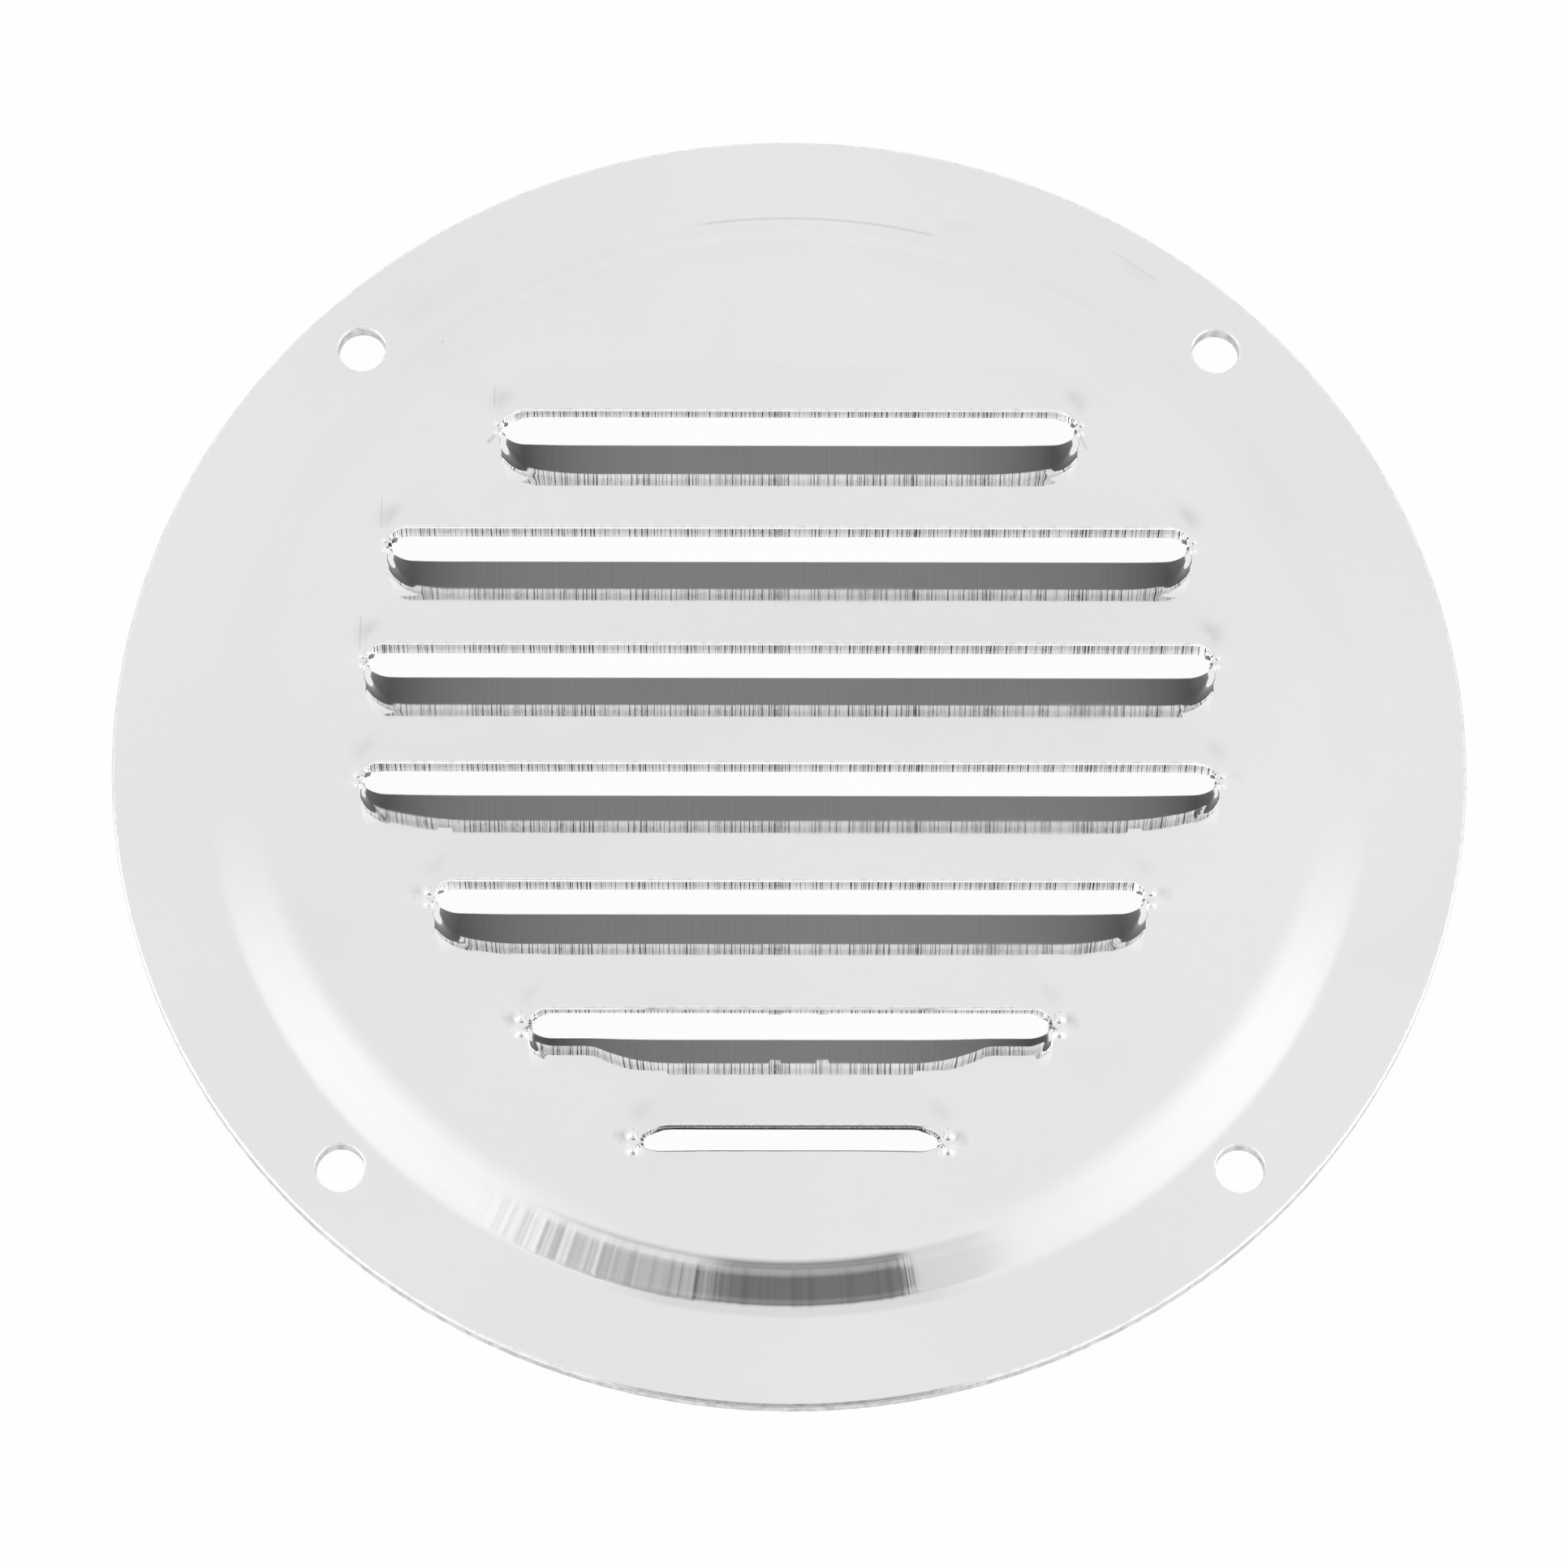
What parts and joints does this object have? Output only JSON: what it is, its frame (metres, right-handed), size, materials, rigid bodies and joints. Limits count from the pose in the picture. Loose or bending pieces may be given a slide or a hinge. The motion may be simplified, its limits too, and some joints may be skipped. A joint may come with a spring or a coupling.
{
  "type": "round louvred vent cover",
  "caption": "Round louvred vent cover pressed from one polished steel sheet: a flat screw flange round a raised pan with lanced louvres that shed rain and pass air.",
  "frame": {"origin": "centre of the flange's back face, the plane that seats on the panel", "axes": "+Z out of the front of the cover, +Y up when it is mounted on a wall, so the louvres open towards -Y"},
  "size_m": [0.127, 0.127, 0.0075],
  "materials": {
    "polished_steel": "stainless sheet, mirror polished on the front, dull mill finish behind, sheared edges"
  },
  "bodies": {
    "root": {"vent_cover": "polished_steel"}
  },
  "joints": []
}
